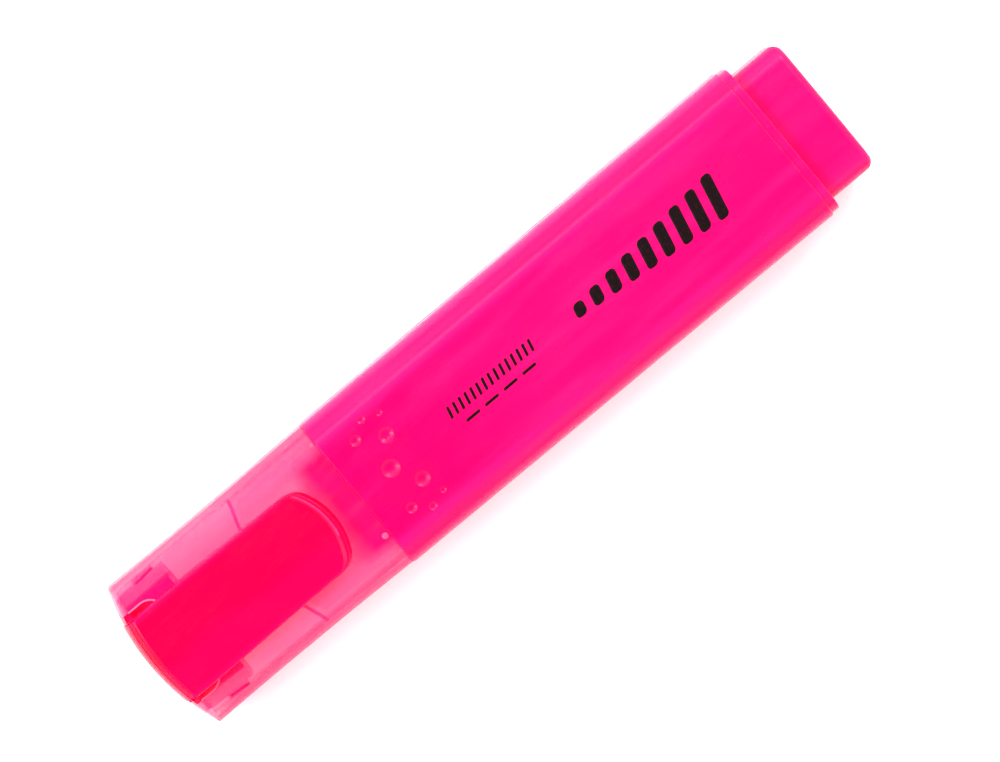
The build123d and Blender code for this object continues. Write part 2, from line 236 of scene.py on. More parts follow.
def specks(tree, spacing, radius):
    # small round spots, one to each cell of a jittered grid
    place = put(tree, "ShaderNodeTexCoord").outputs["Object"]
    inputs = {"Vector": place, "Scale": 1 / (mm * spacing), "Randomness": 1.0}
    away = put(tree, "ShaderNodeTexVoronoi", inputs).outputs["Distance"]
    return ramp(tree, away, radius / spacing, radius / spacing * 0.4)


mouldLook = {
    "smudgeSize": (9, 6, 6),
    "longScratch": {"turn": 0.06, "size": (7, 0.07, 3.0), "crest": 0.66},
    "crossScratch": {"turn": -0.5, "size": (4, 0.06, 3.0), "crest": 0.70},
    "crestSoft": 0.06,
    "peelSize": (0.9, 0.9, 0.9),
    "peelTurn": 0.3,
    "flowSize": (14, 1.6, 1.6),
}


def scratches(tree, look):
    # only the crests of a noise that is pulled out along one direction
    pulled = cloud(tree, look["size"], 2.0, look["turn"])
    return ramp(tree, pulled, look["crest"], look["crest"] + mouldLook["crestSoft"])


def mouldedFinish(tree, shader, look):
    # gloss that is duller in smudges and along fine scratches, over a faint orange peel
    smudge = ramp(tree, cloud(tree, mouldLook["smudgeSize"], 4.0), 0.35, 0.7)
    longScratch = scratches(tree, mouldLook["longScratch"])
    scored = reckon(tree, "MAXIMUM", longScratch, scratches(tree, mouldLook["crossScratch"]))
    rough = ramp(tree, smudge, 0, 1, look["roughness"], look["roughness"] + look["smudge"])
    inputs = {0: scored, 1: look["scoring"], 2: rough}
    duller = put(tree, "ShaderNodeMath", inputs, operation="MULTIPLY_ADD")
    tree.links.new(duller.outputs[0], shader.inputs["Roughness"])
    fine = cloud(tree, mouldLook["peelSize"], 3.0, mouldLook["peelTurn"])
    peel = reckon(tree, "MULTIPLY", fine, look["peel"])
    flow = reckon(tree, "MULTIPLY", cloud(tree, mouldLook["flowSize"], 2.0), look["flow"])
    cut = reckon(tree, "MULTIPLY", scored, look["depth"])
    setHeight(tree, shader, reckon(tree, "SUBTRACT", reckon(tree, "ADD", peel, flow), cut))
    shader.inputs["Specular IOR Level"].default_value = look["gloss"]


def dress(name, material):
    nodes[name].data.materials.clear()
    nodes[name].data.materials.append(material)


makeCamera(cameraLook)
makeStudio(studio)
makeFloor(floorLook)
print("camera, light and floor are in place")

# The barrel's pink plastic is deeper along the middle, where the ink stands behind it; its paler sides and
# the band beside the ink are painted light.
barrelFinish = {
    "name": "barrelPink",
    "pink": (0.90, 0.0022, 0.136),
    "deep": (0.88, 0.0002, 0.110),    # where the ink stands behind the wall
    "edge": (0.90, 0.014, 0.185),     # painted light: paler at the sides, as light coming through the corners
    "sheenBand": (0.90, 0.007, 0.172),     # painted highlight beside the ink, where the wall also has no ink behind it
    "streak": (0.90, 0.0070, 0.160),
    "streakSize": (26, 3, 5),
    "inkHalf": 8.9,
    "inkSoft": 2.4,
    "wispSize": (11, 2.6, 4),
    "wispTurn": 0.1,
    "wispLow": 0.55,
    "sheenBandReach": 1.2,
    "sheenBandSoft": 0.2,
    "paintedEdgeFrom": 10.8,
    "paintedEdgeTo": 12.3,
    "grainSize": (0.35, 0.35, 0.35),
    "grainLow": 0.94,
    "grainHigh": 1.04,
    "deepFrom": 8.0,
    "deepTo": -16.0,
    "roughness": 0.21,
    "smudge": 0.09,
    "scoring": 0.10,
    "peel": 0.004,
    "flow": 0.008,
    "depth": 0.003,
    "gloss": 0.15,
}


def pinkPlastic(look):
    material, tree, shader = newMaterial(look["name"])
    x, y, _ = axes(tree)
    side = reckon(tree, "ABSOLUTE", y)
    streaks = ramp(tree, cloud(tree, look["streakSize"], 4.0), 0.42, 0.68)
    colour = blendColour(tree, streaks, look["pink"], look["streak"])
    ink = look["inkHalf"]
    overInk = ramp(tree, side, ink, ink - look["inkSoft"])
    towardMouth = ramp(tree, x, look["deepFrom"], look["deepTo"])
    wisps = cloud(tree, look["wispSize"], 3.0, look["wispTurn"])
    wisps = ramp(tree, wisps, 0.25, 0.65, look["wispLow"], 1.0)
    deep = reckon(tree, "MULTIPLY", reckon(tree, "MULTIPLY", overInk, towardMouth), wisps)
    colour = blendColour(tree, deep, colour, look["deep"])
    # a painted highlight in a band beside the ink, then painted light paler at the sides
    inner = ramp(tree, side, ink - look["sheenBandReach"], ink)
    outer = ramp(tree, side, ink + look["sheenBandReach"], ink + look["sheenBandSoft"])
    colour = blendColour(tree, reckon(tree, "MULTIPLY", inner, outer), colour, look["sheenBand"])
    colour = blendColour(tree, ramp(tree, side, look["paintedEdgeFrom"], look["paintedEdgeTo"]), colour, look["edge"])
    grain = ramp(tree, cloud(tree, look["grainSize"], 2.0), 0.3, 0.7, look["grainLow"], look["grainHigh"])
    grey = put(tree, "ShaderNodeCombineColor", {0: grain, 1: grain, 2: grain}).outputs[0]
    tree.links.new(blendColour(tree, 1.0, colour, grey, "MULTIPLY"), shader.inputs["Base Color"])
    mouldedFinish(tree, shader, look)
    return material


dress("barrel", pinkPlastic(barrelFinish))
# the tail plug carries the same painted side light and highlight band
plugFinish = dict(barrelFinish, name="plugPink", pink=(0.90, 0.0030, 0.143), sheenBand=(0.90, 0.009, 0.172))
plugFinish.update(deepFrom=60.0, deepTo=70.0, streak=(0.90, 0.006, 0.155))
dress("tail_plug", pinkPlastic(plugFinish))
print("barrel and tail plug have their plastic")

# The cap is milky and clear: each face of its wall hides a share. Its glow is painted light, an emission
# that stands for the dye's fluorescence and for light lost behind the see-through walls.
capFinish = {
    "milk": (0.90, 0.006, 0.200),
    "side": (0.90, 0.022, 0.110),      # painted reflection: warmer at the sides, where they mirror the pale floor
    "pale": (0.92, 0.22, 0.33),       # the thick corner at the closed end
    "glow": (1.0, 0.003, 0.120, 1),
    "glowPower": 0.62,
    "veil": 0.29,                      # how much one face of the wall hides
    "veilSide": 0.76,
    "veilEnd": 0.62,
    "swirlSize": (16, 3, 4),
    "swirlLow": 0.86,
    "swirlHigh": 1.14,
    "cloudSize": (8, 2, 3),
    "cloudTurn": 0.1,
    "cloudShare": 0.10,
    "sideFrom": 10.4,
    "sideTo": 11.5,
    "endFrom": -57.0,
    "endTo": -58.2,
    "roughness": 0.20,
    "smudge": 0.10,
    "scoring": 0.12,
    "peel": 0.004,
    "flow": 0.012,
    "depth": 0.003,
    "gloss": 0.14,
}


def milkyPlastic(look, name):
    material, tree, shader = newMaterial(name)
    x, y, _ = axes(tree)
    swirl = ramp(tree, cloud(tree, look["swirlSize"], 4.0), 0.3, 0.7, look["swirlLow"], look["swirlHigh"])
    atSide = ramp(tree, reckon(tree, "ABSOLUTE", y), look["sideFrom"], look["sideTo"])
    atEnd = ramp(tree, x, look["endFrom"], look["endTo"])
    patches = cloud(tree, look["cloudSize"], 3.0, look["cloudTurn"])
    cloudy = ramp(tree, patches, 0.5, 0.75, 0.0, look["cloudShare"])
    colour = blendColour(tree, cloudy, look["milk"], look["pale"])
    # painted reflection of the pale floor at the sides
    colour = blendColour(tree, atSide, colour, look["side"])
    colour = blendColour(tree, atEnd, colour, look["pale"])
    tree.links.new(colour, shader.inputs["Base Color"])
    veil = blendValue(tree, atSide, look["veil"], look["veilSide"])
    veil = blendValue(tree, atEnd, veil, look["veilEnd"])
    tree.links.new(reckon(tree, "MULTIPLY", veil, swirl), shader.inputs["Alpha"])
    setGlow(shader, look)
    mouldedFinish(tree, shader, look)
    return material


capMilk = milkyPlastic(capFinish, "capMilk")
dress("cap_shell", capMilk)
print("cap shell is milky and clear")

# The neck is milky and nearly clear, and stained by the ink from its middle to the barrel.
neckFinish = {
    "clear": (0.95, 0.62, 0.76),
    "stain": (0.90, 0.0, 0.045),
    # painted glow: emission that stands for the dye's fluorescence and for light lost behind the clear
    # walls
    "glow": (1.0, 0.0, 0.020, 1),
    "glowPower": 0.5,
    "veil": 0.24,
    "veilStain": 0.80,
    "stainFrom": -30.6,
    "stainTo": -25.8,
    "stainHalf": 7.0,
    "stainFade": 9.4,
    "wanderSize": (3, 4, 4),
    "wander": 1.6,
    "roughness": 0.20,
    "smudge": 0.08,
    "scoring": 0.10,
    "peel": 0.008,
    "flow": 0.020,
    "depth": 0.003,
    "gloss": 0.3,
}


def stainedNeck(look):
    material, tree, shader = newMaterial("neckClear")
    x, y, _ = axes(tree)
    wander = reckon(tree, "MULTIPLY", cloud(tree, look["wanderSize"], 2.0), look["wander"])
    start = look["stainFrom"] + look["wander"] / 2
    end = look["stainTo"] + look["wander"] / 2
    stained = ramp(tree, reckon(tree, "ADD", x, wander), start, end)
    within = ramp(tree, reckon(tree, "ABSOLUTE", y), look["stainFade"], look["stainHalf"])
    stained = reckon(tree, "MULTIPLY", stained, within)
    tree.links.new(blendColour(tree, stained, look["clear"], look["stain"]), shader.inputs["Base Color"])
    tree.links.new(blendValue(tree, stained, look["veil"], look["veilStain"]), shader.inputs["Alpha"])
    setGlow(shader, look)
    mouldedFinish(tree, shader, look)
    return material


dress("front_section", stainedNeck(neckFinish))
print("neck is clear with an ink stain")

# Insert and clip are the same red-pink plastic, and the insert lets a little light through; the clip's
# pinker −Y half and lighter sides are painted light.
clipFinish = {
    "red": (0.90, 0.0, 0.052),
    "pinker": (0.90, 0.0005, 0.070),
    # the edge colour is a painted highlight along the clip's rounded sides
    "edge": (0.92, 0.002, 0.100),
    "speck": (0.95, 0.04, 0.20),
    "speckSpacing": 2.6,
    "speckRadius": 0.16,
    "speckShare": 0.5,
    "reflectionFrom": 3.0,          # painted reflection: from red to pinker toward −Y across the clip
    "reflectionTo": -5.0,
    "reflectionSize": (12, 4, 4),
    "paintedEdgeFrom": 5.6,
    "paintedEdgeTo": 6.8,
    "roughness": 0.20,
    "smudge": 0.08,
    "scoring": 0.12,
    "peel": 0.006,
    "flow": 0.015,
    "depth": 0.004,
    "gloss": 0.10,
}


def redPlastic(look, name):
    material, tree, shader = newMaterial(name)
    _, y, _ = axes(tree)
    # painted reflection: pinker toward −Y, made uneven by noise
    uneven = reckon(tree, "SUBTRACT", cloud(tree, look["reflectionSize"], 3.0), 0.5)
    reflectionShare = reckon(tree, "ADD", ramp(tree, y, look["reflectionFrom"], look["reflectionTo"]), uneven)
    colour = blendColour(tree, ramp(tree, reflectionShare, 0.2, 0.9), look["red"], look["pinker"])
    # painted highlight toward the clip's sides
    paintedEdgeSheen = ramp(tree, reckon(tree, "ABSOLUTE", y), look["paintedEdgeFrom"], look["paintedEdgeTo"])
    colour = blendColour(tree, paintedEdgeSheen, colour, look["edge"])
    patches = ramp(tree, cloud(tree, (3, 3, 3)), 0.5, 0.6)
    dots = reckon(tree, "MULTIPLY", specks(tree, look["speckSpacing"], look["speckRadius"]), patches)
    colour = blendColour(tree, reckon(tree, "MULTIPLY", dots, look["speckShare"]), colour, look["speck"])
    tree.links.new(colour, shader.inputs["Base Color"])
    mouldedFinish(tree, shader, look)
    return material


insertFinish = dict(clipFinish, red=(0.88, 0.0003, 0.052), pinker=(0.90, 0.006, 0.105), veil=0.37)
# painted glow on the insert, as on the cap
insertFinish.update(glow=(1.0, 0.0, 0.05, 1), glowPower=0.35, mottle=(5, 3, 3))
insertFinish.update(plateHalf=7.7, plateFade=8.3, plateVeil=0.96)


def insertPlastic(look):
    # the plate under the clip is solid red, and the plug around it lets some light through
    material, tree, shader = newMaterial("insertRed")
    _, y, _ = axes(tree)
    mottle = ramp(tree, cloud(tree, look["mottle"], 3.0), 0.3, 0.7)
    tree.links.new(blendColour(tree, mottle, look["red"], look["pinker"]), shader.inputs["Base Color"])
    middle = ramp(tree, reckon(tree, "ABSOLUTE", y), look["plateFade"], look["plateHalf"])
    tree.links.new(blendValue(tree, middle, look["veil"], look["plateVeil"]), shader.inputs["Alpha"])
    setGlow(shader, look)
    mouldedFinish(tree, shader, look)
    return material


clipRed = redPlastic(clipFinish, "clipRed")
dress("clip", clipRed)
dress("cap_insert", insertPlastic(insertFinish))
print("clip and insert have their plastic")

# The ink reservoir, its film and the felt nib.
feltFinish = {
    "ink": (0.90, 0.0005, 0.095),
    "thread": (0.92, 0.012, 0.17),
    "worn": (0.80, 0.001, 0.07),
    # painted glow: emission that keeps the ink's and nib's red full, also where little light reaches inside
    # the pen
    "glow": (1.0, 0.0, 0.06, 1),
    "glowPower": 0.6,
    "roughness": 0.85,
    "gloss": 0.2,
    "blotSize": (2.5, 2, 2),
    "blotTurn": 0.4,
    "blotShare": 0.6,
    "pile": 0.12,
}


def feltFibre(look, name, along, wide):
    # fine threads that run along the pen: a long narrow noise for colour and height
    material, tree, shader = newMaterial(name)
    thread = cloud(tree, (along, wide, wide), 5.0)
    colour = blendColour(tree, ramp(tree, thread, 0.38, 0.62), look["ink"], look["thread"])
    blot = ramp(tree, cloud(tree, look["blotSize"], 3.0, look["blotTurn"]), 0.5, 0.75)
    colour = blendColour(tree, reckon(tree, "MULTIPLY", blot, look["blotShare"]), colour, look["worn"])
    tree.links.new(colour, shader.inputs["Base Color"])
    tree.links.new(ramp(tree, thread, 0.3, 0.7, look["roughness"], 1.0), shader.inputs["Roughness"])
    setHeight(tree, shader, reckon(tree, "MULTIPLY", thread, look["pile"]))
    shader.inputs["Specular IOR Level"].default_value = look["gloss"]
    setGlow(shader, look)
    return material


dress("reservoir_core", feltFibre(feltFinish, "inkFelt", 6, 0.16))
dress("nib", feltFibre(dict(feltFinish, thread=(0.95, 0.05, 0.26)), "nibFelt", 3, 0.09))

filmFinish = {
    "tint": (0.95, 0.12, 0.34),
    "pale": (0.96, 0.3, 0.5),
    "veilLow": 0.06,
    "veilHigh": 0.15,
    "roughness": 0.16,
    "duller": 0.15,
    "creaseSize": (18, 1.1, 1.1),
    "creaseTurn": 0.05,
    "creaseHigh": 0.15,
}


def thinFilm(look):
    # a clear wrap with soft creases along it
    material, tree, shader = newMaterial("filmWrap")
    crease = cloud(tree, look["creaseSize"], 3.0, look["creaseTurn"])
    tree.links.new(ramp(tree, crease, 0.3, 0.7, look["veilLow"], look["veilHigh"]), shader.inputs["Alpha"])
    colour = blendColour(tree, ramp(tree, crease, 0.45, 0.7), look["tint"], look["pale"])
    tree.links.new(colour, shader.inputs["Base Color"])
    rough = ramp(tree, crease, 0.3, 0.7, look["roughness"], look["roughness"] + look["duller"])
    tree.links.new(rough, shader.inputs["Roughness"])
    setHeight(tree, shader, reckon(tree, "MULTIPLY", crease, look["creaseHigh"]))
    return material


dress("reservoir_film", thinFilm(filmFinish))
print("reservoir, film and nib have their felt")


# Shapes are worked out as whole arrays.
def roundedPath(corners, setback, steps=9):
    # each corner P becomes P + r((1 - t)^2 a + t^2 b): a and b point back and on, r is its setback
    corners = np.asarray(corners, float)
    back = np.roll(corners, 1, axis=0) - corners
    on = np.roll(corners, -1, axis=0) - corners
    back /= np.linalg.norm(back, axis=1, keepdims=True)
    on /= np.linalg.norm(on, axis=1, keepdims=True)
    t = np.linspace(0, 1, steps)[None, :, None]
    reach = np.broadcast_to(np.asarray(setback, float), len(corners))[:, None, None]
    curve = corners[:, None] + reach * ((1 - t) ** 2 * back[:, None] + t**2 * on[:, None])
    return curve.reshape(-1, 2)


def evenPath(loop, count):
    # the closed loop's own points and count more at even lengths along it
    closed = np.vstack([loop, loop[:1]])
    run = np.concatenate([[0], np.cumsum(np.linalg.norm(np.diff(closed, axis=0), axis=1))])
    even = np.linspace(0, run[-1], count, endpoint=False)
    stops = np.unique(np.round(np.concatenate([run[:-1], even]), 3))
    return np.stack([np.interp(stops, run, closed[:, k]) for k in (0, 1)], axis=1)


def smooth(value, start, end):
    # t^2 (3 - 2t), t the share of the way from start to end
    t = np.clip((value - start) / (end - start), 0, 1)
    return t * t * (3 - 2 * t)


def gridFaces(rows, columns, wrapRows=False, wrapColumns=False):
    # the four corners of every cell of a grid of points
    r = np.arange(rows if wrapRows else rows - 1)[:, None]
    c = np.arange(columns if wrapColumns else columns - 1)[None, :]
    nextR = (r + 1) % rows
    nextC = (c + 1) % columns
    corners = (r * columns + c, r * columns + nextC, nextR * columns + nextC, nextR * columns + c)
    return np.stack(np.broadcast_arrays(*corners)).reshape(4, -1).T


def makePiece(name, points, faces, material, body):
    # points are in millimetres; the closed mesh's faces are turned outwards, and only end faces stay flat
    mesh = bpy.data.meshes.new(name)
    corners = [list(map(int, face)) for face in faces]
    mesh.from_pydata((np.asarray(points) * mm).tolist(), [], corners)
    shell = bmesh.new()
    shell.from_mesh(mesh)
    bmesh.ops.recalc_face_normals(shell, faces=shell.faces)
    shell.to_mesh(mesh)
    shell.free()
    sides = np.empty(len(mesh.polygons), np.int32)
    mesh.polygons.foreach_get("loop_total", sides)
    mesh.polygons.foreach_set("use_smooth", sides <= 4)
    mesh.materials.append(material)
    piece = bpy.data.objects.new(name, mesh)
    bpy.context.scene.collection.objects.link(piece)
    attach(piece, body)
    return piece


# The clip is its side profile carried across its width.
clipLook = {
    "topZ": 17.18,
    "fall": 0.62,              # from root to tip
    "thick": 1.8,
    "legX": -57.6,
    "legLowZ": 6.82,
    "endLowZ": 8.6,            # where the end starts to roll over, how far it rolls and how sharply
    "endRun": 1.72,
    "endPower": 1.25,
    "turnFrom": 0.12,
    "turnTo": 1.42,
    "turnSteps": 8,
    "endSetback": 0.55,
    "creaseSetback": 0.14,
    "creaseWide": 0.34,        # the narrow bevel over the end
    "creaseFall": 0.13,
    "rampX": -28.75,           # where the lip begins to rise
    "rampLong": 0.50,
    "lipRise": 0.24,
    "lipFlat": 0.55,
    "lipDrop": 0.06,
    "tipDrop": 1.15,
    "tipBack": 1.2,
    "tipLowZ": 14.2,
    "underBack": 2.2,
    "rootHalf": 6.84,
    "tipHalf": 6.60,
    "tipRadius": 10.6,
    "tipCorner": 1.6,
    "tipFromX": -50.0,         # the tip's and the end's curves, seen from above, come in between these
    "tipToRamp": 1.5,
    "domePlan": 34.0,
    "domeFromX": -44.0,
    "domeToX": -57.0,
    "crown": 0.22,
    "crownFromZ": 11.0,
    "crownToZ": 14.5,
    "dip": 0.10,               # soft hollow just before the lip
    "dipBack": 2.2,
    "dipWide": 1.5,
    "edgeRound": 0.34,
    "edgeSteps": 6,
    "around": 260,
    "across": 45,
}


def clipProfile(look):
    # the end rolls over as x = end + run (1 - cos a)^power, z = low + rise sin a; then come the crease,
    # the top, the lip and the way back below
    endX = clipLow[0]
    low = look["endLowZ"]
    rise = look["topZ"] - look["creaseFall"] - low
    a = np.linspace(look["turnFrom"], look["turnTo"], look["turnSteps"])
    domeZ = low + rise * np.sin(a) / math.sin(look["turnTo"])
    domeX = endX + look["endRun"] * ((1 - np.cos(a)) / (1 - math.cos(look["turnTo"]))) ** look["endPower"]
    tipZ = look["topZ"] - look["fall"]
    lipZ = tipZ + look["lipRise"]
    tipX = clipHigh[0]
    lipX = look["rampX"] + look["rampLong"]
    rest = [  # along, up, and the corner's setback
        (domeX[-1] + look["creaseWide"], look["topZ"], 0.10),
        (look["rampX"], tipZ, 0.12),
        (lipX, lipZ, 0.14),
        (lipX + look["lipFlat"], lipZ - look["lipDrop"], 0.22),
        (tipX, lipZ - look["tipDrop"], 0.30),
        (tipX - look["tipBack"], look["tipLowZ"], 0.30),
        (look["rampX"] - look["underBack"], tipZ - look["thick"], 0.60),
        (look["legX"], look["topZ"] - look["thick"], 1.40),
        (look["legX"], look["legLowZ"], 0.90),
        (endX + 0.02, look["legLowZ"], 0.90),
    ]
    corners = np.vstack([np.stack([domeX, domeZ], axis=1), np.array(rest)[:, :2]])
    rolled = np.full(look["turnSteps"] - 1, look["endSetback"])
    setback = np.concatenate([rolled, [look["creaseSetback"]], np.array(rest)[:, 2]])
    return evenPath(roundedPath(corners, setback), look["around"])


def tipSag(y, width, look):
    # how far the tip gives way at the sides: R - sqrt(R^2 - (w y)^2), and c - sqrt(c^2 - p^2) more
    # round its corners, p the way into the corner
    past = np.clip(np.abs(y) - (look["rootHalf"] - look["tipCorner"]), 0, look["tipCorner"])
    arc = look["tipRadius"] - np.sqrt(look["tipRadius"] ** 2 - (y * width) ** 2)
    return arc + look["tipCorner"] - np.sqrt(look["tipCorner"] ** 2 - past**2)


def clipBlade(look):
    # P(s) - n(s) r(1 - cos a) at y = m(w - r) + r sin a, with P the profile, n its way out and m the share
    # of the half width; x gives way by the end's and the tip's sag, and z by the crown and the hollow
    profile = clipProfile(look)
    along = np.roll(profile, -1, axis=0) - np.roll(profile, 1, axis=0)
    along /= np.linalg.norm(along, axis=1, keepdims=True)
    inward = np.stack([along[:, 1], -along[:, 0]], axis=1)
    r = look["edgeRound"]
    half = look["rootHalf"]
    turn = np.linspace(0, math.pi / 2, look["edgeSteps"] + 1)[1:]
    middle = np.sin(np.linspace(-math.pi / 2, math.pi / 2, look["across"])) * (half - r)
    y = np.concatenate([-(half - r) - r * np.sin(turn[::-1]), middle, half - r + r * np.sin(turn)])
    atEdge = r * (1 - np.cos(turn))
    pulled = np.concatenate([atEdge[::-1], np.zeros(look["across"]), atEdge])
    points = profile[None] + inward[None] * pulled[:, None, None]
    x, z = points[..., 0], points[..., 1]
    y = y[:, None]
    share = np.abs(y) / half
    sag = tipSag(y, look["tipHalf"] / half, look)
    toTip = smooth(x, look["tipFromX"], look["rampX"] - look["tipToRamp"])
    toEnd = smooth(x, look["domeFromX"], look["domeToX"])
    near = np.exp(-(((x - look["rampX"] + look["dipBack"]) / look["dipWide"]) ** 2))
    hollow = look["dip"] * near * (1 - share**2)
    width = 1 + (look["tipHalf"] / half - 1) * smooth(x, look["legX"], look["rampX"])
    upper = smooth(z, look["crownFromZ"], look["crownToZ"])
    placed = np.stack(
        [
            x + y**2 / (2 * look["domePlan"]) * toEnd - sag * toTip,
            y * width,
            z - upper * (look["crown"] * share**2 + hollow),
        ],
        axis=-1,
    )
    rows, columns = placed.shape[:2]
    faces = gridFaces(rows, columns, wrapColumns=True).tolist()
    faces.append(range(columns))
    faces.append(range((rows - 1) * columns, rows * columns))
    return makePiece("clipBlade", placed.reshape(-1, 3), faces, clipRed, "clip")


blade = clipBlade(clipLook)
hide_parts("clip")
print("clip blade has", len(blade.data.polygons), "faces")


# Thin rims are an oval section carried along a path.
def tube(path, sideways, upward, wide, high, closed=False, sides=10, blunt=24, least=0.0025):
    # path + wide cos(a) sideways + high sin(a) upward; an open tube's ends are drawn to a point
    a = np.linspace(0, 2 * math.pi, sides, endpoint=False)
    thin = np.ones(len(path))
    if not closed:
        run = np.linspace(0, 1, len(path))
        thin = np.sqrt(np.clip(1 - np.abs(2 * run - 1) ** blunt, least, 1))
    ring = wide * np.cos(a)[None, :, None] * sideways[:, None]
    ring = ring + high * np.sin(a)[None, :, None] * upward[:, None]
    points = path[:, None] + thin[:, None, None] * ring
    faces = gridFaces(len(path), sides, closed, True).tolist()
    if not closed:
        faces.append(range(sides))
        faces.append(range((len(path) - 1) * sides, len(path) * sides))
    return points.reshape(-1, 3), faces


def outward(path, first, second):
    # unit vectors square to a path within the plane of two axes
    along = np.gradient(path, axis=0)
    side = np.zeros_like(path)
    side[:, first] = along[:, second]
    side[:, second] = -along[:, first]
    return side / np.linalg.norm(side, axis=1, keepdims=True)


capFace = {
    "waistX": -46,
    "waistZ": 13.78,
    "toMouth": 22.7,
    "mouthRise": 0.242,
    "toEnd": 13.6,
    "endRise": 0.15,
    "crown": 270,
}


def capFront(x, y):
    # height of the cap's front face: it rises from the waist as the square of the way to the mouth or the
    # end, less a crown of y^2 / c
    toMouth = np.clip((x - capFace["waistX"]) / capFace["toMouth"], 0, 1)
    toEnd = np.clip((capFace["waistX"] - x) / capFace["toEnd"], 0, 1)
    middle = capFace["waistZ"] + capFace["mouthRise"] * toMouth**2 + capFace["endRise"] * toEnd**2
    return middle - y**2 / capFace["crown"]


rimLook = {
    "half": 7.74,
    "deepX": -53.05,
    "outX": -57.5,
    "corner": 2.4,
    "wide": 0.13,
    "high": 0.12,
    "straightSteps": 30,
    "turnSteps": 24,
    "flatSteps": 12,
}
# pale milky pinks for painted highlights on the notch's edge and the mouth's beads
rimHighlightFinish = dict(capFinish, milk=(0.95, 0.22, 0.40), pale=(0.96, 0.40, 0.55), side=(0.95, 0.22, 0.40))
rimHighlightFinish.update(veil=0.72, veilSide=0.8, veilEnd=0.8, roughness=0.14, smudge=0.05)
rimHighlightFinish.update(gloss=0.35, glowPower=0.45)
rimHighlightMilk = milkyPlastic(rimHighlightFinish, "rimHighlightMilk")
beadHighlightMilk = milkyPlastic(dict(rimHighlightFinish, veil=0.30, veilSide=0.30, veilEnd=0.30), "beadHighlightMilk")


def notchRimHighlight(look):
    # a painted highlight along the notch's edge: straight from the end, round the corner by a quarter
    # circle, and across
    turn = np.linspace(0, math.pi / 2, look["turnSteps"])
    straightEnd = look["deepX"] - look["corner"]
    flatStart = look["half"] - look["corner"]
    straight = np.linspace(look["outX"], straightEnd, look["straightSteps"])[:-1]
    cornerX = straightEnd + look["corner"] * np.sin(turn)
    cornerY = flatStart + look["corner"] * np.cos(turn)
    flat = np.linspace(flatStart, 0, look["flatSteps"])[1:]
    x = np.concatenate([straight, cornerX, np.full(len(flat), look["deepX"])])
    y = np.concatenate([np.full(len(straight), look["half"]), cornerY, flat])
    x = np.concatenate([x, x[-2::-1]])
    y = np.concatenate([y, -y[-2::-1]])
    path = np.stack([x, y, capFront(x, y)], axis=1)
    upward = np.tile([0.0, 0.0, 1.0], (len(path), 1))
    points, faces = tube(path, outward(path, 0, 1), upward, look["wide"], look["high"])
    return makePiece("notchRimHighlight", points, faces, rimHighlightMilk, "cap")


notchRimHighlight(rimLook)


def sectionLoop(halfWide, low, high, corner, count=240):
    # a flat-backed section: straight sides and rounded corners, its front crowned as the cap's is
    square = [(-halfWide, low), (halfWide, low), (halfWide, high), (-halfWide, high)]
    loop = evenPath(roundedPath(square, corner, 25), count)
    crowned = smooth(loop[:, 1], (low + high) / 2, high)
    return np.stack([loop[:, 0], loop[:, 1] - crowned * (loop[:, 0] ** 2 / capFace["crown"])], axis=1)


mouthRimLook = {"inset": 0.09, "halfWide": 12.044, "corner": 4.128, "wide": 0.06, "high": 0.05}


def mouthRim(look):
    # the cap's outline at its mouth, a closed loop
    loop = sectionLoop(look["halfWide"], capLow[2], capHigh[2], look["corner"])
    path = np.stack([np.full(len(loop), mouthX - look["inset"]), loop[:, 0], loop[:, 1]], axis=1)
    closedPath = np.vstack([path[-1:], path, path[:1]])
    side = outward(closedPath, 1, 2)[1:-1]
    ahead = np.tile([1.0, 0.0, 0.0], (len(path), 1))
    points, faces = tube(path, ahead, side, look["wide"], look["high"], closed=True)
    return makePiece("mouthRim", points, faces, capMilk, "cap")


mouthRim(mouthRimLook)

lipHighlightLook = {"from": 5.9, "to": -2.4, "ahead": 0.42, "sink": 0.02, "wide": 0.16, "high": 0.07, "steps": 60}
# lighter pinks for the painted highlight on the lip
lipHighlightFinish = dict(clipFinish, red=(0.92, 0.020, 0.17), pinker=(0.92, 0.045, 0.23), edge=(0.94, 0.08, 0.30))


def clipLipHighlight(look, blade):
    # a painted highlight: a lighter tube along the lip's rise, following the curve of the blade's tip
    y = np.linspace(look["from"], look["to"], look["steps"])
    x = blade["rampX"] + look["ahead"] - tipSag(y, 1.0, blade)
    top = blade["topZ"] - blade["fall"] + blade["lipRise"] - look["sink"]
    path = np.stack([x, y, top - blade["crown"] * (y / blade["rootHalf"]) ** 2], axis=1)
    upward = np.tile([0.0, 0.0, 1.0], (len(path), 1))
    points, faces = tube(path, outward(path, 0, 1), upward, look["wide"], look["high"])
    plastic = redPlastic(lipHighlightFinish, "lipHighlightPink")
    return makePiece("clipLipHighlight", points, faces, plastic, "clip")


clipLipHighlight(lipHighlightLook, clipLook)

shoulderLook = {
    "ball": 24.4,
    "startX": -40.15,
    "inset": 0.02,
    "frontInset": 0.2,
    "corner": 2.784,
    "wide": 0.25,
    "high": 0.06,
}
shoulderFinish = dict(neckFinish, dark=(0.90, 0.015, 0.19), light=(0.92, 0.06, 0.28), veil=0.55)
shoulderFinish["patchSize"] = (2, 2.4, 2)


def shoulderPlastic(look):
    # the shoulder's edge gathers the dye: darker than the clear neck, lighter in soft patches
    material, tree, shader = newMaterial("shoulderPink")
    patch = ramp(tree, cloud(tree, look["patchSize"], 3.0), 0.35, 0.7)
    tree.links.new(blendColour(tree, patch, look["dark"], look["light"]), shader.inputs["Base Color"])
    shader.inputs["Alpha"].default_value = look["veil"]
    setGlow(shader, look)
    mouldedFinish(tree, shader, look)
    return material


